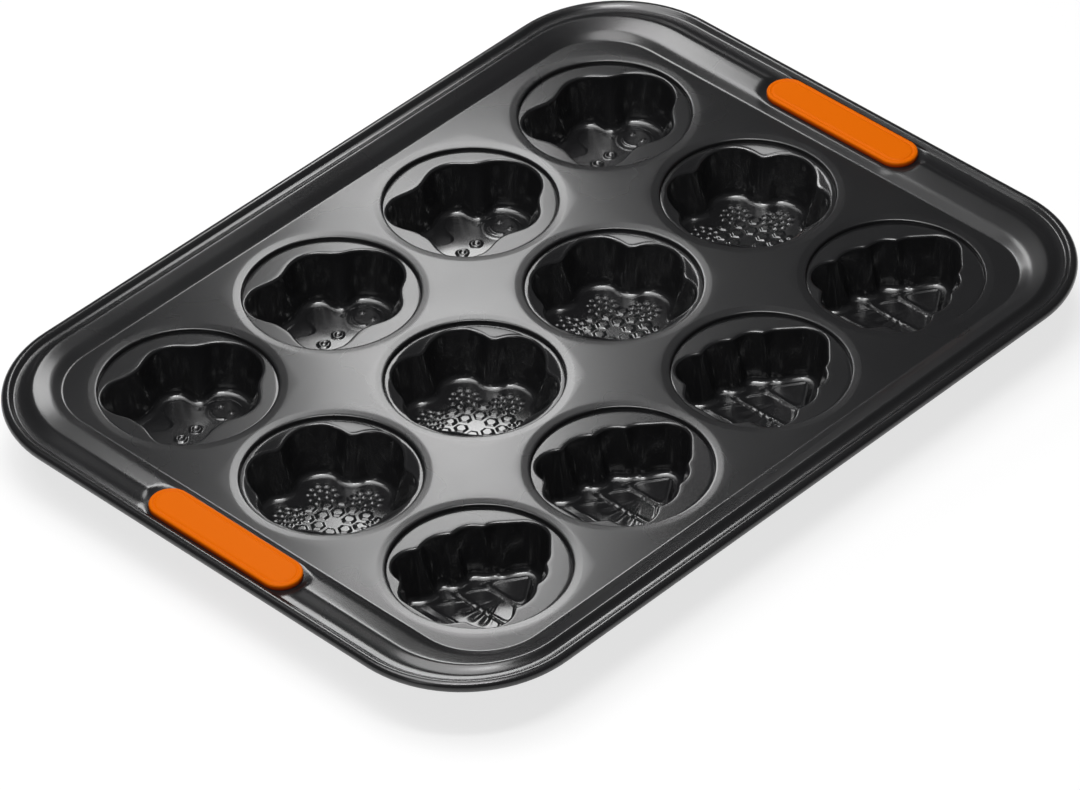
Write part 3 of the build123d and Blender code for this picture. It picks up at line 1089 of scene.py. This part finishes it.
def photo_camera(looks):
    """Camera that looks back along its azimuth and elevation at the target, turned by its roll."""
    cos_up = np.cos(looks.elevation)
    back = Vector((np.sin(looks.azimuth) * cos_up, -np.cos(looks.azimuth) * cos_up, np.sin(looks.elevation)))
    right = (-back).cross(Vector((0, 0, 1))).normalized()
    above = right.cross(-back)
    cos_roll = np.cos(looks.roll)
    sin_roll = np.sin(looks.roll)
    camera_x = right * cos_roll + above * sin_roll
    camera_y = above * cos_roll - right * sin_roll
    spot = Vector(looks.target) + back * looks.distance
    turn = Matrix((camera_x, camera_y, back)).transposed().to_4x4()
    data = bpy.data.cameras.new("photo_camera")
    data.lens = looks.lens
    data.sensor_width = SENSOR_WIDTH
    data.sensor_fit = "HORIZONTAL"
    camera = stage_object("photo_camera", data)
    camera.matrix_world = Matrix.Translation(spot) @ turn
    return camera


class MakeStudio(bpy.types.Operator):
    """White floor, soft lamps, world and the camera at the photograph's angle"""

    bl_idname = "muffinpan.studio"
    bl_label = "Studio"

    def execute(self, context):
        scene = context.scene
        paper_floor()
        scene.world = studio_world()
        for lamp in LAMPS:
            area_lamp(*lamp)
        scene.camera = photo_camera(scene.studio)
        scene.view_settings.view_transform = "Standard"
        return {"FINISHED"}


OPERATORS = (MakePanSheet, MakeCups, MakeGrips, PaintWire, MakeStudio)


class MuffinPanPanel(bpy.types.Panel):
    """Sizes and pieces of the muffin pan"""

    bl_idname = "VIEW3D_PT_muffinpan"
    bl_label = "Muffin pan"
    bl_space_type = "VIEW_3D"
    bl_region_type = "UI"
    bl_category = "Muffin pan"

    def draw(self, context):
        for group in (context.scene.pan_sheet, context.scene.cups, context.scene.grips, context.scene.studio):
            box = self.layout.box()
            for name in group.__annotations__:
                box.prop(group, name)
        for operator in OPERATORS:
            self.layout.operator(operator.bl_idname)


GROUPS = (("pan_sheet", PanSheetSizes), ("cups", CupSizes), ("grips", GripSizes), ("studio", StudioLooks))


def register():
    for name, group in GROUPS:
        bpy.utils.register_class(group)
        setattr(bpy.types.Scene, name, PointerProperty(type=group))
    for kind in (*OPERATORS, MuffinPanPanel):
        bpy.utils.register_class(kind)


def unregister():
    for kind in reversed((*OPERATORS, MuffinPanPanel)):
        bpy.utils.unregister_class(kind)
    for name, group in reversed(GROUPS):
        delattr(bpy.types.Scene, name)
        bpy.utils.unregister_class(group)


def main():
    register()
    bpy.ops.muffinpan.sheet()
    bpy.ops.muffinpan.cups()
    bpy.ops.muffinpan.grips()
    bpy.ops.muffinpan.wire()
    bpy.ops.muffinpan.studio()


if __name__ == "__main__":
    main()
